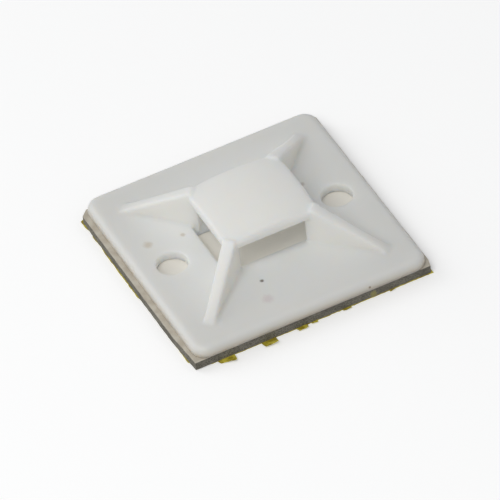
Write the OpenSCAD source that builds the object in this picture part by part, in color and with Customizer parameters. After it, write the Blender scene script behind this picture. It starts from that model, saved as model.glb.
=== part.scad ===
// Self-adhesive cable tie mount: a moulded nylon base with a raised cap on four
// diagonal ribs, a sheet of foam tape under it and a torn release liner under that.
// Origin: centre of the base plate, on the plane that the liner rests on.
// +X runs along the line of the two screw holes, +Y to the gate side, +Z up.

/* [Base plate] */
// Width and depth of the square plate
plate_w = 28; // [26:0.5:34]
// Thickness of the plate
plate_t = 1.25; // [1:0.05:1.8]
// Corner radius of the plate, seen from above
plate_corner_r = 1.7; // [1.2:0.1:5]
// Radius along the top edge of the plate
plate_edge_r = 0.8; // [0.3:0.1:0.9]
// Diameter of the two screw holes
hole_d = 3.5; // [3:0.1:4.2]
// Distance between the two screw holes
hole_spacing = 20; // [18.5:0.5:21]

/* [Cap] */
// Size of the cap along X
cap_w = 11.3; // [10:0.1:12]
// Size of the cap along Y
cap_d = 10.5; // [9.5:0.1:11]
// Corner radius of the cap, seen from above
cap_corner_r = 1.8; // [1.4:0.1:2.5]
// Radius along the top edge of the cap
cap_edge_r = 1.1; // [0.6:0.1:1.3]
// Height of the tie slot, from the plate to the underside of the cap
slot_h = 3.45; // [3:0.05:4]
// Thickness of the cap at its middle
cap_t = 1.85; // [1.6:0.05:2.4]
// Radius of the domed top of the cap
crown_r = 24; // [18:1:60]

/* [Ribs] */
// Thickness of a rib at the cap
rib_w = 1.5; // [1.3:0.05:1.9]
// Thickness of a rib at its outer end
rib_tip_w = 1.25; // [0.8:0.05:1.3]
// How far a rib runs out past the corner of the cap
rib_run = 7.6; // [6:0.1:8.4]
// How far its leg reaches in under the corner of the cap
leg_in = 1.7; // [1.4:0.1:2.6]

/* [Window under the cap] */
// Size of the window along X
window_w = 11.4; // [10.4:0.1:12]
// Size of the window along Y, at the underside of the plate
window_d = 6.6; // [5.8:0.1:7.2]
// How far the rounded lips at its front and back reach up to the plate's top
lip_run = 2.3; // [1.6:0.1:2.6]

/* [Foam tape] */
// Width of the foam sheet, along X
foam_w = 28.9; // [26:0.1:34]
// Depth of the foam sheet, along Y
foam_d = 27.5; // [26:0.1:34]
// Thickness of the foam sheet
foam_t = 1; // [0.6:0.1:1.6]
// How far the sheet sits off centre along X
foam_dx = -0.15; // [-0.6:0.05:0.6]
// How far the sheet sits off centre along Y
foam_dy = -0.15; // [-0.6:0.05:0.6]
// Length cut off the sheet's back left corner
foam_trim = 0.8; // [0.4:0.1:2]

/* [Release liner] */
// Thickness of the liner
liner_t = 0.12; // [0.1:0.01:0.2]
// How far the liner sticks out past the foam
liner_over = 0.12; // [0.05:0.01:0.3]

/* [Hidden] */
$fn = 48;
nylon = [0.93, 0.92, 0.89];
foam_colour = [0.62, 0.60, 0.55];
liner_colour = [0.66, 0.62, 0.20];
eps = 0.01;
foam_z = liner_t;
plate_z = foam_z + foam_t;
plate_top = plate_z + plate_t;
cap_under = plate_top + slot_h;
cap_top = cap_under + cap_t;
// Each lip is an arc that starts level with the plate's top and ends at its underside
lip_y = window_d / 2 + lip_run;
lip_r = (lip_run * lip_run + plate_t * plate_t) / (2 * plate_t);
// The top of a rib starts inside the round edge of the cap and falls straight to the plate
rib_start = -0.9;
rib_start_z = cap_top - 0.65;
rib_root = 0.6;
// Tongues on the liner's front edge: place along X, width, reach past the foam, lean of the tip
tongues = [
    [-10.7, 2, 1.1, 0.6],
    [-5.6, 1.7, 1.1, 0.2],
    [-1.6, 1.3, 0.65, 0.1],
    [-0.1, 0.8, 0.35, 0],
    [3.8, 1.1, 0.4, 0.1],
    [9.3, 0.7, 0.25, 0],
];

mount_body();
foam_pad();
release_liner();

// Half section of a slab with a round upper edge, from its corner axis outwards
module edge_section(corner_r, edge_r, thick) {
    square([corner_r - edge_r, thick]);
    square([corner_r, thick - edge_r]);
    intersection() {
        translate([corner_r - edge_r, thick - edge_r]) circle(r = edge_r);
        translate([corner_r - edge_r, thick - edge_r]) square(edge_r);
    }
}

// Slab with round corners and a round upper edge, standing on z = 0
module soft_slab(w, d, corner_r, edge_r, thick) {
    inner_w = w - 2 * corner_r;
    inner_d = d - 2 * corner_r;
    translate([-inner_w / 2, -inner_d / 2, 0]) cube([inner_w, inner_d, thick]);
    for (side = [0, 180]) {
        rotate([0, 0, side]) translate([inner_w / 2, inner_d / 2, 0]) rotate([90, 0, 0])
            linear_extrude(inner_d) edge_section(corner_r, edge_r, thick);
        rotate([0, 0, side]) translate([-inner_w / 2, inner_d / 2, 0]) rotate([90, 0, 90])
            linear_extrude(inner_w) edge_section(corner_r, edge_r, thick);
    }
    for (sx = [-1, 1], sy = [-1, 1])
        translate([sx * inner_w / 2, sy * inner_d / 2, 0])
            rotate([0, 0, sx > 0 ? (sy > 0 ? 0 : 270) : (sy > 0 ? 90 : 180)])
                rotate_extrude(angle = 90) edge_section(corner_r, edge_r, thick);
}

// Opening in the plate under the cap: straight ends, and round lips at the front and back
module window_cut() {
    difference() {
        translate([-window_w / 2, -lip_y, plate_z - eps])
            cube([window_w, 2 * lip_y, plate_t + 2 * eps]);
        for (side = [-1, 1])
            translate([0, side * lip_y, plate_top - lip_r]) rotate([0, 90, 0])
                cylinder(h = window_w + 2 * eps, r = lip_r, center = true, $fn = 96);
    }
}

module plate() {
    difference() {
        translate([0, 0, plate_z])
            soft_slab(plate_w, plate_w, plate_corner_r, plate_edge_r, plate_t);
        window_cut();
        for (side = [-1, 1])
            translate([side * hole_spacing / 2, 0, plate_z - eps])
                cylinder(h = plate_t + 2 * eps, d = hole_d);
    }
}

module cap() {
    intersection() {
        translate([0, 0, cap_under])
            soft_slab(cap_w, cap_d, cap_corner_r, cap_edge_r, cap_t);
        translate([0, 0, cap_top - crown_r]) sphere(r = crown_r);
    }
}

// One diagonal rib, from the corner of the cap: its leg stands in the corner of the window,
// and its top runs out and down to the plate
module rib() {
    intersection() {
        rotate([90, 0, 0]) translate([0, 0, -rib_w])
            linear_extrude(2 * rib_w) polygon([
                [-leg_in, plate_z],
                [-leg_in, cap_under + rib_root],
                [rib_start, rib_start_z],
                [rib_run, plate_top],
                [rib_run, plate_z + plate_t / 2],
                [rib_run - 1, plate_z],
            ]);
        linear_extrude(cap_top) polygon([
            [-leg_in - eps, -rib_w / 2],
            [0, -rib_w / 2],
            [rib_run + eps, -rib_tip_w / 2],
            [rib_run + eps, rib_tip_w / 2],
            [0, rib_w / 2],
            [-leg_in - eps, rib_w / 2],
        ]);
    }
}

module ribs() {
    for (sx = [0, 1], sy = [0, 1])
        mirror([sx, 0, 0]) mirror([0, sy, 0])
            translate([cap_w / 2, cap_d / 2, 0]) rotate([0, 0, 45]) rib();
}

module mount_body() {
    color(nylon) {
        plate();
        cap();
        ribs();
    }
}

// Plan of the foam sheet: the four corners were each cut a little differently
module foam_outline() {
    x = foam_w / 2;
    y = foam_d / 2;
    polygon([
        [-x, y - foam_trim],
        [-x + foam_trim, y],
        [x - 0.2, y],
        [x, y - 0.2],
        [x, -y + 0.9],
        [x - 0.25, -y],
        [-x + 0.3, -y],
        [-x, -y + 5],
    ]);
}

module foam_pad() {
    color(foam_colour)
        translate([foam_dx, foam_dy, foam_z]) linear_extrude(foam_t) foam_outline();
}

// A tongue of paper left on the torn front edge; its tip slopes by lean towards +X
module tongue(width, reach, lean) {
    polygon([
        [-width / 2, 1],
        [-width / 2, 0],
        [-0.3 * width, -reach + lean],
        [0, -reach + lean / 3],
        [0.35 * width, -reach],
        [width / 2, -0.6 * reach],
        [width / 2, 1],
    ]);
}

// The left edge is torn off unevenly and the front left corner is gone
module liner_outline() {
    left = -foam_w / 2 - liner_over;
    right = foam_w / 2;
    back = foam_d / 2;
    polygon([
        [right, back],
        [left + foam_trim, back],
        [left - 0.05, back - 0.4],
        [left, back - 1.5],
        [left + 0.25, back - 2.6],
        [left, back - 3.2],
        [left + 0.15, back - 5.1],
        [left, back - 6],
        [left, -0.5],
        [left + 0.2, -1.2],
        [left + 0.2, -back + 1.5],
        [left + 1.2, -back + 0.6],
        [left + 2.4, -back],
        [right + 0.05, -back - 0.1],
    ]);
}

module release_liner() {
    color(liner_colour) linear_extrude(liner_t) {
        translate([foam_dx, foam_dy]) liner_outline();
        for (t = tongues)
            translate([t[0], foam_dy - foam_d / 2]) tongue(t[1], t[2], t[3]);
    }
}
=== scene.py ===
"""Cable tie mount: a translucent nylon moulding on foam tape, with a torn release liner under it."""

import logging
import math
import random
from collections.abc import Callable, Sequence
from dataclasses import dataclass, field
from enum import Enum

import bmesh
import bpy
from mathutils import Matrix, Vector, noise


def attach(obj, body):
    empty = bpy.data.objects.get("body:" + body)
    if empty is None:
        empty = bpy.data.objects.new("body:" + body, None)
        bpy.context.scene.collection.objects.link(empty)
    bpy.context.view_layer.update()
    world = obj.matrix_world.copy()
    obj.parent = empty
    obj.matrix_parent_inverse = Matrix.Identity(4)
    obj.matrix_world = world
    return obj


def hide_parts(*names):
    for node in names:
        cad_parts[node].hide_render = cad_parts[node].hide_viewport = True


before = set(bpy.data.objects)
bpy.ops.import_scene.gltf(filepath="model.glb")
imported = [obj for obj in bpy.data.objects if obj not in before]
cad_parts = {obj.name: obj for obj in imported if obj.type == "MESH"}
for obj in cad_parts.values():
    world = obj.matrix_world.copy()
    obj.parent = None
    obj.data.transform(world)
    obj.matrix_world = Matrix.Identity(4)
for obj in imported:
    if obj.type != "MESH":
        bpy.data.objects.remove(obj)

LOG = logging.getLogger("cable_tie_mount")
MM = 0.001
BODY = "root"
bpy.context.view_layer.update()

Point = tuple[float, float, float]
Colour = tuple[float, float, float]


def srgb(red: int, green: int, blue: int) -> Colour:
    """Turns an 8-bit sRGB colour into scene-linear values.

    Args:
        red: Red, 0 to 255.
        green: Green, 0 to 255.
        blue: Blue, 0 to 255.

    Returns:
        The three linear values.
    """

    def linear(value: int) -> float:
        """Returns one channel's linear value."""
        part = value / 255
        return part / 12.92 if part <= 0.04045 else ((part + 0.055) / 1.055) ** 2.4

    return linear(red), linear(green), linear(blue)


class Slot(Enum):
    """The record's material slots."""

    NYLON = "nylon"
    FOAM = "foam"
    LINER = "liner"


class Node(Enum):
    """The solids that the pieces stand for."""

    BODY = "mount_body"
    FOAM = "foam_pad"
    LINER = "release_liner"


class Fuse(Enum):
    """How one solid is worked into another."""

    CUT = "DIFFERENCE"
    ADD = "UNION"


class Bench:
    """Hand operations on one mesh object at a time, worked in millimetres."""

    @staticmethod
    def deselect() -> None:
        """Leaves edit mode and deselects every object."""
        if bpy.context.mode != "OBJECT":
            bpy.ops.object.mode_set(mode="OBJECT")
        bpy.ops.object.select_all(action="DESELECT")

    @classmethod
    def pick(cls, *objects: bpy.types.Object) -> bpy.types.Object:
        """Selects the objects and makes the first one active.

        Args:
            objects: The objects to select.

        Returns:
            The active object.
        """
        cls.deselect()
        for item in objects:
            item.select_set(True)
        bpy.context.view_layer.objects.active = objects[0]
        return objects[0]

    @classmethod
    def block(cls, name: str, low: Point, high: Point) -> bpy.types.Object:
        """Adds a cube at its size and place.

        Args:
            name: The object's name.
            low: The lowest corner.
            high: The highest corner.

        Returns:
            The new object, with its place in its mesh.
        """
        cls.deselect()
        middle = [(a + b) / 2 for a, b in zip(low, high)]
        size = [b - a for a, b in zip(low, high)]
        bpy.ops.mesh.primitive_cube_add(size=1, location=middle, scale=size)
        return cls.settle(name)

    @classmethod
    def rod(cls, name: str, radius: float, low: Point, high: Point, sides: int = 96) -> bpy.types.Object:
        """Adds a cylinder between two points on a line along X or Z.

        Args:
            name: The object's name.
            radius: The cylinder's radius.
            low: The middle of one end.
            high: The middle of the other end.
            sides: How many sides the round has.

        Returns:
            The new object, with its place in its mesh.
        """
        cls.deselect()
        axis = Vector(high) - Vector(low)
        middle = (Vector(high) + Vector(low)) / 2
        turn = (0.0, math.pi / 2, 0.0) if abs(axis.x) > abs(axis.z) else (0.0, 0.0, 0.0)
        bpy.ops.mesh.primitive_cylinder_add(
            vertices=sides, radius=radius, depth=axis.length, location=middle, rotation=turn
        )
        return cls.settle(name)

    @classmethod
    def extruded(cls, name: str, ring: Sequence[Point], along: Point) -> bpy.types.Object:
        """Shapes a filled ring of points and extrudes it to a closed solid.

        Args:
            name: The object's name.
            ring: The points of the outline, in order.
            along: The direction and length of the extrusion.

        Returns:
            The new object, with outward normals.
        """
        cls.deselect()
        bpy.ops.mesh.primitive_circle_add(vertices=len(ring), radius=1, fill_type="NGON")
        obj = bpy.context.object
        for vertex, place in zip(obj.data.vertices, ring):
            vertex.co = place
        bpy.ops.object.mode_set(mode="EDIT")
        bpy.ops.mesh.select_all(action="SELECT")
        bpy.ops.mesh.extrude_region_move(TRANSFORM_OT_translate={"value": along})
        bpy.ops.mesh.select_all(action="SELECT")
        bpy.ops.mesh.normals_make_consistent(inside=False)
        return cls.settle(name)

    @classmethod
    def settle(cls, name: str) -> bpy.types.Object:
        """Names the active object and puts its place into its mesh.

        Args:
            name: The object's name.

        Returns:
            The active object.
        """
        if bpy.context.mode != "OBJECT":
            bpy.ops.object.mode_set(mode="OBJECT")
        obj = bpy.context.object
        obj.name = obj.data.name = name
        bpy.ops.object.transform_apply(location=True, rotation=True, scale=True)
        return obj

    @classmethod
    def bevel(
        cls, obj: bpy.types.Object, test: Callable[[Vector, Vector], bool], width: float, steps: int
    ) -> None:
        """Rounds the edges that pass a test on their two ends.

        Args:
            obj: The object to work on.
            test: Says of an edge's two end points whether it is rounded.
            width: The radius.
            steps: How many facets the round has.
        """
        cls.pick(obj)
        bpy.ops.object.mode_set(mode="EDIT")
        bpy.ops.mesh.select_mode(type="EDGE")
        bpy.ops.mesh.select_all(action="DESELECT")
        mesh = bmesh.from_edit_mesh(obj.data)
        for edge in mesh.edges:
            edge.select_set(test(edge.verts[0].co, edge.verts[1].co))
        bmesh.update_edit_mesh(obj.data)
        bpy.ops.mesh.bevel(offset=width, segments=steps, affect="EDGES", clamp_overlap=True)
        cls.deselect()

    @classmethod
    def fuse(cls, obj: bpy.types.Object, tool: bpy.types.Object, how: Fuse) -> None:
        """Cuts a tool out of an object or adds it, and deletes the tool.

        Args:
            obj: The object to work on.
            tool: The other solid.
            how: Whether it is cut or added.
        """
        cls.pick(obj)
        step = obj.modifiers.new(how.name.lower(), "BOOLEAN")
        step.operation = how.value
        step.solver = "EXACT"
        step.object = tool
        bpy.ops.object.modifier_apply(modifier=step.name)
        bpy.data.objects.remove(tool, do_unlink=True)

    @classmethod
    def join(cls, *objects: bpy.types.Object) -> bpy.types.Object:
        """Joins objects into the first one.

        Args:
            objects: The objects to join.

        Returns:
            The joined object.
        """
        obj = cls.pick(*objects)
        bpy.ops.object.join()
        return obj

    @classmethod
    def copy(cls, obj: bpy.types.Object, turn: float, shift: Point) -> bpy.types.Object:
        """Copies an object with its own mesh, turned about Z and moved.

        Args:
            obj: The object to copy.
            turn: The angle about Z, in degrees.
            shift: How far the copy is moved after the turn.

        Returns:
            The copy, with its place in its mesh.
        """
        cls.pick(obj)
        bpy.ops.object.duplicate(linked=False)
        other = bpy.context.object
        other.rotation_euler = (0.0, 0.0, math.radians(turn))
        other.location = shift
        return cls.settle(other.name)

    @classmethod
    def melt(cls, obj: bpy.types.Object, voxel: float, factor: float, rounds: int) -> None:
        """Welds overlapping solids into one skin and softens its edges as a mould does.

        Args:
            obj: The object to work on.
            voxel: The size of the skin's facets.
            factor: The strength of one smoothing.
            rounds: How many times it is smoothed.
        """
        cls.pick(obj)
        skin = obj.modifiers.new("skin", "REMESH")
        skin.mode = "VOXEL"
        skin.voxel_size = voxel
        skin.adaptivity = 0.0
        bpy.ops.object.modifier_apply(modifier=skin.name)
        soft = obj.modifiers.new("soft", "SMOOTH")
        soft.factor = factor
        soft.iterations = rounds
        bpy.ops.object.modifier_apply(modifier=soft.name)

    @classmethod
    def soften(cls, obj: bpy.types.Object, weight: Callable[[Vector], float], rounds: int) -> None:
        """Rounds the edges of part of a skin further.

        Args:
            obj: The object to work on.
            weight: Gives how much a point is softened, from 0 to 1.
            rounds: How many times it is smoothed.
        """
        cls.pick(obj)
        group = obj.vertex_groups.new(name="soft")
        for vertex in obj.data.vertices:
            share = weight(vertex.co)
            if share > 0:
                group.add([vertex.index], share, "REPLACE")
        soft = obj.modifiers.new("softer", "SMOOTH")
        soft.factor = 0.5
        soft.iterations = rounds
        soft.vertex_group = group.name
        bpy.ops.object.modifier_apply(modifier=soft.name)
        obj.vertex_groups.clear()

    @classmethod
    def finish(
        cls, obj: bpy.types.Object, node: Node, slot: Slot, materials: Sequence[bpy.types.Material]
    ) -> None:
        """Brings a finished piece to metres, dresses it and reports it.

        Args:
            obj: The piece, still in millimetres.
            node: The solid that it stands for.
            slot: The record's material slot; not used.
            materials: The piece's materials, in the order of its faces' indices.
        """
        cls.pick(obj)
        obj.scale = (MM, MM, MM)
        bpy.ops.object.transform_apply(location=True, rotation=True, scale=True)
        bpy.ops.object.shade_smooth_by_angle(angle=math.radians(38))
        obj.data.materials.clear()
        for material in materials:
            obj.data.materials.append(material)
        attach(obj, BODY)
        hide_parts(node.value)
        LOG.info("%s: %d vertices, %d faces", obj.name, len(obj.data.vertices), len(obj.data.polygons))


class Graph:
    """A node tree with short calls for adding and wiring nodes."""

    def __init__(self, tree: bpy.types.NodeTree) -> None:
        """Keeps the tree to work on."""
        self.tree = tree

    def add(self, kind: str, **settings: object) -> bpy.types.Node:
        """Adds a node.

        Args:
            kind: The node's type name.
            settings: Properties to set on it; a dict named values sets its inputs by name or number.

        Returns:
            The new node.
        """
        values = settings.pop("values", {})
        node = self.tree.nodes.new(kind)
        for name, value in settings.items():
            setattr(node, name, value)
        for key, value in values.items():
            if isinstance(value, bpy.types.NodeSocket):
                self.tree.links.new(value, node.inputs[key])
            else:
                node.inputs[key].default_value = value
        return node

    def math(self, operation: str, first: object, second: object = 0.0) -> bpy.types.NodeSocket:
        """Adds a Math node.

        Args:
            operation: The operation's name.
            first: A socket or a number.
            second: A socket or a number.

        Returns:
            The result's socket.
        """
        node = self.add("ShaderNodeMath", operation=operation, values={0: first, 1: second})
        return node.outputs[0]

    def span(
        self, value: object, low: float, high: float, start: float = 0.0, end: float = 1.0
    ) -> bpy.types.NodeSocket:
        """Maps a value smoothly from one range to another.

        Args:
            value: A socket.
            low: The value that gives start.
            high: The value that gives end.
            start: The result at low.
            end: The result at high.

        Returns:
            The result's socket.
        """
        node = self.add(
            "ShaderNodeMapRange",
            interpolation_type="SMOOTHSTEP",
            values={"Value": value, "From Min": low, "From Max": high, "To Min": start, "To Max": end},
        )
        return node.outputs["Result"]

    def blend(self, factor: object, first: object, second: object) -> bpy.types.NodeSocket:
        """Mixes two colours.

        Args:
            factor: A socket or a number.
            first: A socket or a colour.
            second: A socket or a colour.

        Returns:
            The mixed colour's socket.
        """
        node = self.add("ShaderNodeMix", data_type="RGBA")
        for index, value in ((0, factor), (6, first), (7, second)):
            if isinstance(value, bpy.types.NodeSocket):
                self.tree.links.new(value, node.inputs[index])
            elif index == 0:
                node.inputs[index].default_value = value
            else:
                node.inputs[index].default_value = (*value, 1.0)
        return node.outputs[2]

    def place(self) -> bpy.types.NodeSocket:
        """Returns the object's own coordinates, turned into millimetres."""
        local = self.add("ShaderNodeTexCoord").outputs["Object"]
        scaled = self.add("ShaderNodeVectorMath", operation="SCALE", values={0: local, "Scale": 1 / MM})
        return scaled.outputs[0]

    def reach(self, axes: bpy.types.Node) -> bpy.types.NodeSocket:
        """Works out how far a place lies from the middle along X or Y, whichever is more.

        Args:
            axes: The node that holds the place's three parts.

        Returns:
            The distance's socket.
        """
        across = self.math("ABSOLUTE", axes.outputs["X"])
        along = self.math("ABSOLUTE", axes.outputs["Y"])
        return self.math("MAXIMUM", across, along)

    def relief(self, shader: bpy.types.Node, height: object, strength: float, depth: float) -> None:
        """Gives a shader fine relief.

        Args:
            shader: The shader.
            height: The socket of the height.
            strength: How strong the relief is.
            depth: Its depth, in millimetres.
        """
        values = {"Height": height, "Strength": strength, "Distance": depth * MM}
        bump = self.add("ShaderNodeBump", values=values)
        self.tree.links.new(bump.outputs["Normal"], shader.inputs["Normal"])


@dataclass(frozen=True)
class Mark:
    """A stain or speck on a surface.

    Attributes:
        centre: Its place, in millimetres.
        radius: Its size, in millimetres.
        colour: Its colour.
        strength: How much it covers.
    """

    centre: Point
    radius: float
    colour: Colour
    strength: float


class Effects:
    """Shader node groups that more than one material uses, each built once."""

    def __init__(self) -> None:
        """Builds the groups."""
        self.spot = self._spot()
        self.cloud = self._cloud()

    @staticmethod
    def _socket(tree: bpy.types.NodeTree, name: str, way: str, kind: str, value: object = None) -> None:
        """Makes one socket on a group.

        Args:
            tree: The group.
            name: The socket's name.
            way: INPUT or OUTPUT.
            kind: The socket's type.
            value: Its default value.
        """
        socket = tree.interface.new_socket(name=name, in_out=way, socket_type=kind)
        if value is not None:
            socket.default_value = value

    def _spot(self) -> bpy.types.NodeTree:
        """Builds the soft, uneven spot that marks and stains are made with."""
        tree = bpy.data.node_groups.new("soft_spot", "ShaderNodeTree")
        self._socket(tree, "Place", "INPUT", "NodeSocketVector")
        self._socket(tree, "Centre", "INPUT", "NodeSocketVector")
        self._socket(tree, "Radius", "INPUT", "NodeSocketFloat", 0.3)
        self._socket(tree, "Raggedness", "INPUT", "NodeSocketFloat", 0.3)
        self._socket(tree, "Mask", "OUTPUT", "NodeSocketFloat")
        graph = Graph(tree)
        entry, leave = graph.add("NodeGroupInput"), graph.add("NodeGroupOutput")
        place, centre = entry.outputs["Place"], entry.outputs["Centre"]
        away = graph.add("ShaderNodeVectorMath", operation="DISTANCE", values={0: place, 1: centre})
        rough = graph.add("ShaderNodeTexNoise", values={"Vector": place, "Scale": 4.0, "Detail": 3.0})
        uneven = graph.math("SUBTRACT", rough.outputs["Fac"], 0.5)
        wobble = graph.math("MULTIPLY", uneven, entry.outputs["Raggedness"])
        ratio = graph.math("DIVIDE", away.outputs["Value"], entry.outputs["Radius"])
        mask = graph.span(graph.math("ADD", ratio, wobble), 1.0, 0.25)
        tree.links.new(mask, leave.inputs["Mask"])
        return tree

    def _cloud(self) -> bpy.types.NodeTree:
        """Builds the slow cloudiness and fine grain of moulded and cut surfaces."""
        tree = bpy.data.node_groups.new("cloud_and_grain", "ShaderNodeTree")
        self._socket(tree, "Place", "INPUT", "NodeSocketVector")
        self._socket(tree, "Cloud size", "INPUT", "NodeSocketFloat", 4.0)
        self._socket(tree, "Grain size", "INPUT", "NodeSocketFloat", 0.2)
        self._socket(tree, "Cloud", "OUTPUT", "NodeSocketFloat")
        self._socket(tree, "Grain", "OUTPUT", "NodeSocketFloat")
        graph = Graph(tree)
        entry, leave = graph.add("NodeGroupInput"), graph.add("NodeGroupOutput")
        for size, detail, name in (("Cloud size", 2.0, "Cloud"), ("Grain size", 3.0, "Grain")):
            scale = graph.math("DIVIDE", 1.0, entry.outputs[size])
            values = {"Vector": entry.outputs["Place"], "Scale": scale, "Detail": detail}
            texture = graph.add("ShaderNodeTexNoise", values=values)
            tree.links.new(texture.outputs["Fac"], leave.inputs[name])
        return tree

    def clouds(self, graph: Graph, place: bpy.types.NodeSocket, cloud: float, grain: float) -> bpy.types.Node:
        """Adds cloudiness and grain to a material.

        Args:
            graph: The material's graph.
            place: The coordinates, in millimetres.
            cloud: The size of the clouds, in millimetres.
            grain: The size of the grain.

        Returns:
            The group's node.
        """
        values = {"Place": place, "Cloud size": cloud, "Grain size": grain}
        return graph.add("ShaderNodeGroup", node_tree=self.cloud, values=values)

    def stained(
        self, graph: Graph, place: bpy.types.NodeSocket, colour: object, mark: Mark, raggedness: float
    ) -> bpy.types.NodeSocket:
        """Lays one mark over a colour.

        Args:
            graph: The material's graph.
            place: The coordinates, in millimetres.
            colour: The colour under the mark.
            mark: The mark.
            raggedness: How uneven its edge is.

        Returns:
            The stained colour's socket.
        """
        values = {"Place": place, "Centre": mark.centre, "Radius": mark.radius, "Raggedness": raggedness}
        spot = graph.add("ShaderNodeGroup", node_tree=self.spot, values=values)
        cover = graph.math("MULTIPLY", spot.outputs["Mask"], mark.strength)
        return graph.blend(cover, colour, mark.colour)


@dataclass(frozen=True)
class Finish:
    """What every finish shares.

    Attributes:
        name: The material's name.
    """

    name: str

    def start(self) -> tuple[bpy.types.Material, Graph, bpy.types.Node]:
        """Makes an empty material.

        Returns:
            The material, its graph and its Principled BSDF.
        """
        material = bpy.data.materials.new(self.name)
        material.use_nodes = True
        material.node_tree.nodes.clear()
        graph = Graph(material.node_tree)
        shader = graph.add("ShaderNodeBsdfPrincipled")
        graph.add("ShaderNodeOutputMaterial", values={"Surface": shader.outputs["BSDF"]})
        return material, graph, shader


@dataclass(frozen=True)
class Nylon(Finish):
    """Natural moulded nylon: milky and translucent, with painted shade towards the plate's outer edges and a
    darker, warmer painted shade on the plate's outer side.
    """

    name: str = "natural_nylon"
    light: Colour = srgb(247, 246, 242)
    shade: Colour = srgb(243, 242, 237)
    # painted shade: the colour the plate fades to towards its outer edges and corners
    painted_edge_shade: Colour = srgb(229, 228, 224)
    # painted shade: darker, warmer colour for the plate's outer side towards its lower edge
    painted_rim_shade: Colour = srgb(222, 209, 190)
    marks: tuple[Mark, ...] = (
        Mark((-3.0, -7.6, 2.37), 0.3, srgb(70, 62, 56), 0.85),
        Mark((6.7, -14.0, 1.7), 0.22, srgb(120, 86, 52), 0.7),
        Mark((-11.0, 3.85, 2.37), 0.7, srgb(196, 178, 150), 0.45),
        Mark((-7.05, 3.25, 2.37), 0.4, srgb(190, 176, 156), 0.45),
        Mark((7.55, 3.5, 2.37), 0.45, srgb(172, 160, 158), 0.4),
        Mark((9.15, 9.45, 3.0), 0.35, srgb(150, 140, 132), 0.45),
        Mark((9.9, 9.0, 2.5), 0.3, srgb(150, 140, 132), 0.45),
        Mark((-3.7, -10.4, 2.37), 0.9, srgb(214, 196, 200), 0.4),
    )

    def make(self, effects: Effects) -> bpy.types.Material:
        """Builds the material.

        Args:
            effects: The shared node groups.

        Returns:
            The material.
        """
        material, graph, shader = self.start()
        place = graph.place()
        cloud = effects.clouds(graph, place, 5.0, 0.35)
        colour = graph.blend(cloud.outputs["Cloud"], self.light, self.shade)
        axes = graph.add("ShaderNodeSeparateXYZ", values={0: place})
        # Painted shade: the colour darkens from the middle out to the plate's outer edges and corners,
        # standing in for light falling off there.
        flat = graph.add("ShaderNodeVectorMath", operation="MULTIPLY", values={0: place, 1: (1.0, 1.0, 0.0)})
        middle = graph.add("ShaderNodeVectorMath", operation="LENGTH", values={0: flat.outputs[0]})
        square = graph.reach(axes)
        rounded = graph.math("MULTIPLY", middle.outputs["Value"], 0.4)
        out = graph.math("ADD", rounded, graph.math("MULTIPLY", square, 0.6))
        colour = graph.blend(graph.span(out, 6.0, 15.5), colour, self.painted_edge_shade)
        # Painted shade: the plate's outer side darkens and turns warmer towards its lower edge, standing in
        # for the shade there and the warm light through the nylon.
        rim_shade_mask = graph.math("MULTIPLY", graph.span(axes.outputs["Z"], 2.3, 1.15), graph.span(square, 12.9, 13.7))
        colour = graph.blend(rim_shade_mask, colour, self.painted_rim_shade)
        for mark in self.marks:
            colour = effects.stained(graph, place, colour, mark, 0.6)
        graph.tree.links.new(colour, shader.inputs["Base Color"])
        rough = graph.span(cloud.outputs["Grain"], 0.3, 0.7, 0.42, 0.5)
        graph.tree.links.new(rough, shader.inputs["Roughness"])
        graph.relief(shader, cloud.outputs["Grain"], 0.06, 0.02)
        shader.inputs["IOR"].default_value = 1.5
        shader.inputs["Subsurface Weight"].default_value = 1.0
        shader.inputs["Subsurface Radius"].default_value = (1.0, 0.88, 0.74)
        shader.inputs["Subsurface Scale"].default_value = 0.0018
        return material


@dataclass(frozen=True)
class FoamEdge(Finish):
    """The cut edge of foam tape: fine open cells, grey and a little dirty."""

    name: str = "foam_cut_edge"
    wall: Colour = srgb(142, 138, 126)
    cell: Colour = srgb(84, 80, 71)
    smear: Mark = Mark((7.1, -13.9, 0.45), 0.6, srgb(176, 166, 96), 0.75)

    def make(self, effects: Effects) -> bpy.types.Material:
        """Builds the material.

        Args:
            effects: The shared node groups.

        Returns:
            The material.
        """
        material, graph, shader = self.start()
        place = graph.place()
        cells = graph.add("ShaderNodeTexVoronoi", values={"Vector": place, "Scale": 7.0, "Randomness": 1.0})
        pores = graph.span(cells.outputs["Distance"], 0.1, 0.65)
        cloud = effects.clouds(graph, place, 1.4, 0.12)
        colour = graph.blend(pores, self.cell, self.wall)
        worn = graph.span(cloud.outputs["Cloud"], 0.35, 0.7, 0.0, 0.45)
        colour = graph.blend(worn, colour, self.cell)
        colour = effects.stained(graph, place, colour, self.smear, 1.0)
        graph.tree.links.new(colour, shader.inputs["Base Color"])
        rough = graph.span(cloud.outputs["Grain"], 0.3, 0.7, 0.8, 0.95)
        graph.tree.links.new(rough, shader.inputs["Roughness"])
        height = graph.math("ADD", pores, graph.math("MULTIPLY", cloud.outputs["Grain"], 0.5))
        graph.relief(shader, height, 0.5, 0.06)
        return material


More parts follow.
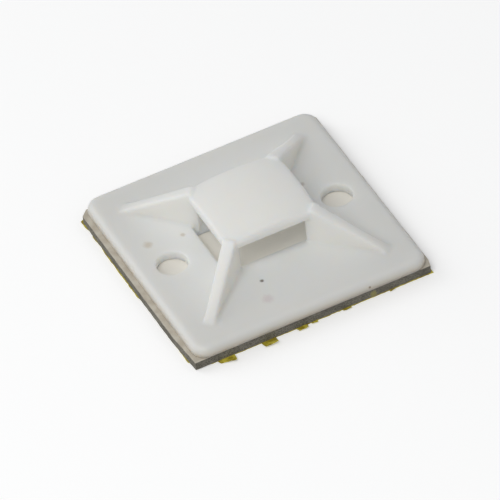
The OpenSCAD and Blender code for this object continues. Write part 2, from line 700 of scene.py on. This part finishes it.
@dataclass(frozen=True)
class FoamSkin(Finish):
    """The pale, sticky face of foam tape: clean in the holes and the window, grubby past the plate's edge."""

    name: str = "foam_skin"
    clean: Colour = srgb(240, 237, 229)
    light: Colour = srgb(206, 201, 188)
    dark: Colour = srgb(188, 180, 165)

    def make(self, effects: Effects) -> bpy.types.Material:
        """Builds the material.

        Args:
            effects: The shared node groups.

        Returns:
            The material.
        """
        material, graph, shader = self.start()
        place = graph.place()
        cloud = effects.clouds(graph, place, 1.1, 0.15)
        grubby = graph.blend(graph.span(cloud.outputs["Cloud"], 0.3, 0.7), self.light, self.dark)
        axes = graph.add("ShaderNodeSeparateXYZ", values={0: place})
        colour = graph.blend(graph.span(graph.reach(axes), 12.9, 13.6), self.clean, grubby)
        graph.tree.links.new(colour, shader.inputs["Base Color"])
        rough = graph.span(cloud.outputs["Grain"], 0.3, 0.7, 0.35, 0.6)
        graph.tree.links.new(rough, shader.inputs["Roughness"])
        graph.relief(shader, cloud.outputs["Grain"], 0.2, 0.03)
        return material


@dataclass(frozen=True)
class LinerPaper(Finish):
    """Yellow siliconed paper: streaky fibres under a slight gloss."""

    name: str = "yellow_release_paper"
    light: Colour = srgb(214, 200, 74)
    deep: Colour = srgb(158, 140, 34)

    def make(self, effects: Effects) -> bpy.types.Material:
        """Builds the material.

        Args:
            effects: The shared node groups.

        Returns:
            The material.
        """
        material, graph, shader = self.start()
        place = graph.place()
        cloud = effects.clouds(graph, place, 0.6, 0.08)
        colour = graph.blend(graph.span(cloud.outputs["Cloud"], 0.35, 0.65), self.light, self.deep)
        graph.tree.links.new(colour, shader.inputs["Base Color"])
        rough = graph.span(cloud.outputs["Grain"], 0.3, 0.7, 0.3, 0.5)
        graph.tree.links.new(rough, shader.inputs["Roughness"])
        graph.relief(shader, cloud.outputs["Grain"], 0.4, 0.03)
        return material


@dataclass
class Moulding:
    """The nylon mount: plate, window, cap and four ribs in one shot. Sizes are in millimetres."""

    plate_w: float = 28.0
    plate_z: float = 1.12
    plate_top: float = 2.37
    corner_r: float = 1.7
    edge_r: float = 0.8
    hole_r: float = 1.75
    hole_x: float = 10.0
    cap_w: float = 11.3
    cap_d: float = 10.5
    cap_under: float = 5.82
    cap_top: float = 7.67
    cap_corner_r: float = 1.8
    cap_edge_r: float = 1.1
    crown_r: float = 24.0
    dome_w: float = 14.0
    dome_steps: int = 64
    rib_w: float = 1.5
    rib_tip_w: float = 1.25
    rib_start: float = -0.9
    rib_start_z: float = 7.02
    rib_run: float = 7.6
    leg_in: float = 1.7
    leg_rise: float = 0.6
    tip_foot: float = 0.6
    window_w: float = 11.4
    window_d: float = 6.6
    lip_run: float = 2.3
    voxel: float = 0.155

    def plate(self) -> bpy.types.Object:
        """Models the square plate with its holes and window.

        Returns:
            The plate.
        """
        half = self.plate_w / 2
        obj = Bench.block("mount_moulding", (-half, -half, self.plate_z), (half, half, self.plate_top))
        Bench.bevel(obj, lambda a, b: abs(a.z - b.z) > 1, self.corner_r, 12)
        Bench.bevel(obj, lambda a, b: min(a.z, b.z) > self.plate_top - 0.01, self.edge_r, 8)
        for side in (-1, 1):
            x = side * self.hole_x
            Bench.fuse(obj, Bench.rod("drill", self.hole_r, (x, 0, 0), (x, 0, 4)), Fuse.CUT)
        Bench.fuse(obj, self.window_tool(), Fuse.CUT)
        return obj

    def window_tool(self) -> bpy.types.Object:
        """Models the window's cutter: a block less the two rounded lips.

        Returns:
            The cutter.
        """
        thick = self.plate_top - self.plate_z
        lip_y = self.window_d / 2 + self.lip_run
        lip_r = (self.lip_run**2 + thick**2) / (2 * thick)
        reach = self.window_w / 2
        low = (-reach, -lip_y, self.plate_z - 1)
        tool = Bench.block("window_tool", low, (reach, lip_y, self.plate_top + 0.5))
        for side in (-1, 1):
            y, z = side * lip_y, self.plate_top - lip_r
            Bench.fuse(tool, Bench.rod("lip", lip_r, (-8, y, z), (8, y, z), 256), Fuse.CUT)
        return tool

    def cap(self) -> bpy.types.Object:
        """Models the raised cap with its round upper edges and domed top.

        Returns:
            The cap.
        """
        w, d = self.cap_w / 2, self.cap_d / 2
        obj = Bench.block("cap", (-w, -d, self.cap_under), (w, d, self.cap_top))
        Bench.bevel(obj, lambda a, b: abs(a.z - b.z) > 1, self.cap_corner_r, 10)
        Bench.bevel(obj, lambda a, b: min(a.z, b.z) > self.cap_top - 0.01, self.cap_edge_r, 10)
        Bench.deselect()
        bpy.ops.mesh.primitive_grid_add(
            x_subdivisions=self.dome_steps, y_subdivisions=self.dome_steps, size=self.dome_w
        )
        dome = bpy.context.object
        for vertex in dome.data.vertices:
            drop = self.crown_r - math.sqrt(self.crown_r**2 - vertex.co.x**2 - vertex.co.y**2)
            vertex.co.z = self.cap_top - drop
        bpy.ops.object.mode_set(mode="EDIT")
        bpy.ops.mesh.select_all(action="SELECT")
        bpy.ops.mesh.extrude_region_move(TRANSFORM_OT_translate={"value": (0, 0, 4)})
        bpy.ops.mesh.select_all(action="SELECT")
        bpy.ops.mesh.normals_make_consistent(inside=False)
        Bench.fuse(obj, Bench.settle("dome_tool"), Fuse.CUT)
        return obj

    def rib(self) -> bpy.types.Object:
        """Models one rib along X, from the corner of the cap: leg, strut and tapered tip.

        Returns:
            The rib.
        """
        half = self.rib_w / 2
        profile = (
            (-self.leg_in, self.plate_z),
            (-self.leg_in, self.cap_under + self.leg_rise),
            (self.rib_start, self.rib_start_z),
            (self.rib_run, self.plate_top),
            (self.rib_run, self.plate_z + self.tip_foot),
            (self.rib_run - 1, self.plate_z),
        )
        obj = Bench.extruded("rib", [(x, -half, z) for x, z in profile], (0, self.rib_w, 0))
        bpy.ops.object.mode_set(mode="EDIT")
        bpy.ops.mesh.select_all(action="SELECT")
        bpy.ops.mesh.bisect(plane_co=(0, 0, 0), plane_no=(1, 0, 0))
        mesh = bmesh.from_edit_mesh(obj.data)
        for vertex in mesh.verts:
            if vertex.co.x > 0.01:
                share = vertex.co.x / self.rib_run
                vertex.co.y *= 1 - share * (1 - self.rib_tip_w / self.rib_w)
        bmesh.update_edit_mesh(obj.data)
        return Bench.settle("rib")

    def worn(self, place: Vector) -> float:
        """Says how round the edges are at a point of the moulding.

        Args:
            place: The point.

        Returns:
            1 on the ribs and on the top of the cap, 0 on the lower edges of the cap, the plate and the holes.
        """
        inside = abs(place.x) < self.cap_w / 2 + 0.1 and abs(place.y) < self.cap_d / 2 + 0.1
        if inside:
            start, end = self.cap_under + 0.25, self.cap_under + 0.8
        else:
            start, end = self.plate_top - 0.1, self.plate_top + 0.2
        return min(1.0, max(0.0, (place.z - start) / (end - start)))

    def build(self, nylon: bpy.types.Material) -> bpy.types.Object:
        """Joins the parts of the moulding into one soft-edged skin.

        Args:
            nylon: The moulding's material.

        Returns:
            The moulding.
        """
        obj = self.plate()
        first = self.rib()
        ribs = []
        for step, (x, y) in enumerate(((1, 1), (-1, 1), (-1, -1), (1, -1))):
            shift = (x * self.cap_w / 2, y * self.cap_d / 2, 0)
            ribs.append(Bench.copy(first, 45 + 90 * step, shift))
        bpy.data.objects.remove(first, do_unlink=True)
        obj = Bench.join(obj, self.cap(), *ribs)
        Bench.melt(obj, self.voxel, 0.5, 2)
        Bench.soften(obj, self.worn, 10)
        Bench.finish(obj, Node.BODY, Slot.NYLON, (nylon,))
        return obj


@dataclass
class FoamSheet:
    """The sheet of foam tape under the plate. Sizes are in millimetres."""

    left: float = -14.6
    right: float = 14.3
    front: float = -13.9
    back: float = 13.6
    low: float = 0.12
    high: float = 1.12

    def outline(self) -> list[Point]:
        """Returns the sheet's cut outline, corner by corner."""
        return [
            (self.left, self.back - 0.8, self.low),
            (self.left + 0.8, self.back, self.low),
            (self.right - 0.2, self.back, self.low),
            (self.right, self.back - 0.2, self.low),
            (self.right, self.front + 0.9, self.low),
            (self.right - 0.25, self.front, self.low),
            (self.left + 0.3, self.front, self.low),
            (self.left, self.front + 5.0, self.low),
        ]

    def build(self, edge: bpy.types.Material, skin: bpy.types.Material) -> bpy.types.Object:
        """Models the sheet with slightly wavy cut sides.

        Args:
            edge: The material of the cut sides.
            skin: The material of the flat faces.

        Returns:
            The sheet.
        """
        obj = Bench.extruded("foam_tape", Torn.finer(self.outline(), 0.35), (0, 0, self.high - self.low))
        Bench.pick(obj)
        bpy.ops.object.mode_set(mode="EDIT")
        bpy.ops.mesh.select_all(action="SELECT")
        for share in (0.25, 0.5, 0.75):
            cut = (0, 0, self.low + share * (self.high - self.low))
            bpy.ops.mesh.bisect(plane_co=cut, plane_no=(0, 0, 1))
            bpy.ops.mesh.select_all(action="SELECT")
        mesh = bmesh.from_edit_mesh(obj.data)
        for vertex in mesh.verts:
            inner = 0.02 if self.low + 0.01 < vertex.co.z < self.high - 0.01 else 0.0
            push = noise.noise(vertex.co * 1.7) * 0.035 - inner
            x, y, _ = vertex.co
            outward = Vector((x, 0, 0)) if abs(x) > abs(y) else Vector((0, y, 0))
            vertex.co += outward.normalized() * push
        bmesh.update_edit_mesh(obj.data)
        bpy.ops.object.mode_set(mode="OBJECT")
        for face in obj.data.polygons:
            face.material_index = 1 if abs(face.normal.z) > 0.7 else 0
        places = [face.material_index for face in obj.data.polygons]
        Bench.finish(obj, Node.FOAM, Slot.FOAM, (edge, skin))
        obj.data.polygons.foreach_set("material_index", places)
        return obj


class Torn:
    """Helpers for outlines that are cut or torn."""

    @staticmethod
    def finer(ring: Sequence[Point], step: float) -> list[Point]:
        """Divides the sides of an outline into short pieces.

        Args:
            ring: The outline's points.
            step: The longest piece.

        Returns:
            The finer outline.
        """
        points: list[Point] = []
        for here, there in zip(ring, [*ring[1:], ring[0]]):
            a, b = Vector(here), Vector(there)
            count = max(1, math.ceil((b - a).length / step))
            points += [tuple(a.lerp(b, index / count)) for index in range(count)]
        return points

    @staticmethod
    def ragged(
        ring: Sequence[Point], test: Callable[[Vector], bool], amount: float, seed: int
    ) -> list[Point]:
        """Moves an outline's points inwards by uneven amounts.

        Args:
            ring: The outline's points.
            test: Says whether a point lies on a torn side.
            amount: The most that a point moves.
            seed: The seed of the unevenness.

        Returns:
            The ragged outline.
        """
        chance = random.Random(seed)
        points: list[Point] = []
        for place in ring:
            spot = Vector(place)
            if test(spot):
                spot -= Vector((spot.x, spot.y, 0)).normalized() * chance.random() * amount
            points.append(tuple(spot))
        return points


@dataclass(frozen=True)
class Tongue:
    """A tongue of paper on the torn front edge.

    Attributes:
        at: Its place along X, in millimetres.
        width: Its width.
        reach: How far it sticks out past the foam.
        lean: How far its tip slopes back on the left.
        lift: How high its tip curls.
    """

    at: float
    width: float
    reach: float
    lean: float
    lift: float


@dataclass
class Liner:
    """The release liner under the tape. Sizes are in millimetres."""

    left: float = -14.72
    right: float = 14.3
    front: float = -13.9
    back: float = 13.6
    thick: float = 0.12
    tongues: tuple[Tongue, ...] = field(
        default_factory=lambda: (
            Tongue(-10.7, 2.0, 1.05, 0.6, 0.35),
            Tongue(-5.6, 1.7, 1.05, 0.2, 0.45),
            Tongue(-1.6, 1.3, 0.6, 0.1, 0.25),
            Tongue(-0.1, 0.8, 0.3, 0.0, 0.12),
            Tongue(3.8, 1.1, 0.35, 0.1, 0.15),
            Tongue(9.3, 0.7, 0.22, 0.0, 0.1),
        )
    )

    def outline(self) -> list[Point]:
        """Returns the sheet's torn outline."""
        corners = (
            (self.right, self.back),
            (self.left + 0.8, self.back),
            (self.left - 0.03, self.back - 0.4),
            (self.left, self.back - 1.5),
            (self.left + 0.25, self.back - 2.6),
            (self.left, self.back - 3.2),
            (self.left + 0.15, self.back - 5.1),
            (self.left, self.back - 6),
            (self.left, -0.65),
            (self.left + 0.2, -1.35),
            (self.left + 0.2, self.front + 1.5),
            (self.left + 1.2, self.front + 0.6),
            (self.left + 2.4, self.front),
            (self.right, self.front - 0.08),
        )
        return [(x, y, 0.0) for x, y in corners]

    def tongue(self, shape: Tongue, seed: int) -> bpy.types.Object:
        """Models one curled and creased tongue.

        Args:
            shape: The tongue's place and size.
            seed: The seed of its creases.

        Returns:
            The tongue.
        """
        Bench.deselect()
        bpy.ops.mesh.primitive_grid_add(x_subdivisions=14, y_subdivisions=12, size=1)
        obj = bpy.context.object
        for vertex in obj.data.vertices:
            across, out = vertex.co.x, 0.5 - vertex.co.y
            edge = 1 - 0.35 * max(0.0, out - 0.55)
            tip = shape.reach - shape.lean * (0.5 - across) * (1 if across < 0.35 else 0.6)
            x = shape.at + across * shape.width * edge
            y = self.front + 0.5 - out * (tip + 0.5)
            past = max(0.0, self.front - y) / max(shape.reach, 0.01)
            crease = noise.noise(Vector((x * 2.2, y * 2.2, seed * 3.1)))
            z = 0.02 + past**1.6 * shape.lift * (0.75 + 0.5 * across) + past * crease * 0.16
            vertex.co = (x, y, max(0.012, z))
        thick = obj.modifiers.new("paper", "SOLIDIFY")
        thick.thickness = 0.07
        thick.offset = 1.0
        bpy.ops.object.modifier_apply(modifier=thick.name)
        return Bench.settle("tongue")

    def build(self, paper: bpy.types.Material) -> bpy.types.Object:
        """Models the sheet and its tongues.

        Args:
            paper: The liner's material.

        Returns:
            The liner.
        """
        ring = Torn.finer(self.outline(), 0.3)
        ring = Torn.ragged(ring, lambda p: p.x < -13.0 or p.y < -13.0, 0.07, 11)
        sheet = Bench.extruded("torn_liner", ring, (0, 0, self.thick))
        tongues = [self.tongue(shape, seed) for seed, shape in enumerate(self.tongues)]
        obj = Bench.join(sheet, *tongues)
        Bench.finish(obj, Node.LINER, Slot.LINER, (paper,))
        return obj


@dataclass
class Studio:
    """The floor, the lamps and the camera. Lengths are in millimetres."""

    azimuth: float = -22.641
    elevation: float = 43.697
    roll: float = -6.315
    offset: tuple[float, float] = (0.683, 0.590)
    distance: float = 864.1
    lens: float = 576.0
    floor_glow: float = 0.25

    def camera(self) -> None:
        """Places the camera."""
        turn, rise, tilt = (math.radians(v) for v in (self.azimuth, self.elevation, self.roll))
        back = Vector((math.sin(turn) * math.cos(rise), -math.cos(turn) * math.cos(rise), math.sin(rise)))
        right = Vector((math.cos(turn), math.sin(turn), 0))
        up = back.cross(right)
        across = right * math.cos(tilt) + up * math.sin(tilt)
        upward = up * math.cos(tilt) - right * math.sin(tilt)
        place = (back * self.distance - across * self.offset[0] - upward * self.offset[1]) * MM
        data = bpy.data.cameras.new("camera")
        data.lens = self.lens
        data.sensor_width = 36.0
        data.clip_start = 0.01
        data.clip_end = 20.0
        obj = bpy.data.objects.new("camera", data)
        bpy.context.scene.collection.objects.link(obj)
        obj.matrix_world = Matrix(
            [(*row, place[index]) for index, row in enumerate(zip(across, upward, back))] + [(0, 0, 0, 1)]
        )
        bpy.context.scene.camera = obj

    def lamp(self, name: str, place: Point, size: float, power: float, colour: Colour) -> None:
        """Adds a square soft lamp that looks at the part.

        Args:
            name: The lamp's name.
            place: Its place, in millimetres.
            size: Its side, in millimetres.
            power: Its power, in watts.
            colour: Its colour.
        """
        data = bpy.data.lights.new(name, "AREA")
        data.shape = "SQUARE"
        data.size = size * MM
        data.energy = power
        data.color = colour
        obj = bpy.data.objects.new(name, data)
        bpy.context.scene.collection.objects.link(obj)
        obj.location = Vector(place) * MM
        obj.rotation_euler = (-Vector(place)).to_track_quat("-Z", "Y").to_euler()

    def floor(self) -> None:
        """Adds the plain pale floor."""
        Bench.deselect()
        bpy.ops.mesh.primitive_plane_add(size=6)
        obj = Bench.settle("floor")
        material = bpy.data.materials.new("pale_floor")
        material.use_nodes = True
        material.node_tree.nodes.clear()
        graph = Graph(material.node_tree)
        path = graph.add("ShaderNodeLightPath")
        seen = graph.math("MAXIMUM", path.outputs["Is Camera Ray"], path.outputs["Is Glossy Ray"])
        seen = graph.math("MAXIMUM", seen, path.outputs["Is Transmission Ray"])
        paint = graph.add("ShaderNodeBsdfDiffuse")
        paint.inputs["Color"].default_value = (0.6, 0.6, 0.6, 1.0)
        bright = graph.add("ShaderNodeBsdfDiffuse")
        bright.inputs["Color"].default_value = (0.96, 0.96, 0.96, 1.0)
        glow = graph.add("ShaderNodeEmission")
        glow.inputs["Color"].default_value = (1.0, 1.0, 1.0, 1.0)
        glow.inputs["Strength"].default_value = self.floor_glow
        pale = graph.add("ShaderNodeAddShader", values={0: bright.outputs[0], 1: glow.outputs[0]})
        mixed = graph.add("ShaderNodeMixShader", values={0: seen, 1: paint.outputs[0], 2: pale.outputs[0]})
        graph.add("ShaderNodeOutputMaterial", values={"Surface": mixed.outputs[0]})
        obj.data.materials.append(material)

    def build(self) -> None:
        """Builds the whole studio."""
        self.camera()
        self.floor()
        self.lamp("key", (-300, -260, 580), 420, 1.9, (1.0, 0.995, 0.985))
        self.lamp("back", (-400, 400, 300), 420, 0.9, (0.98, 0.99, 1.0))
        world = bpy.data.worlds.new("studio")
        world.use_nodes = True
        world.node_tree.nodes["Background"].inputs["Color"].default_value = (0.98, 0.99, 1.0, 1.0)
        world.node_tree.nodes["Background"].inputs["Strength"].default_value = 0.36
        bpy.context.scene.world = world
        bpy.context.scene.view_settings.view_transform = "Standard"
        LOG.info("studio: camera, floor and lamps")


def main() -> None:
    """Builds the studio and the three pieces."""
    logging.basicConfig(level=logging.INFO, format="%(name)s: %(message)s")
    Studio().build()
    effects = Effects()
    Moulding().build(Nylon().make(effects))
    FoamSheet().build(FoamEdge().make(effects), FoamSkin().make(effects))
    Liner().build(LinerPaper().make(effects))


if __name__ == "__main__":
    main()
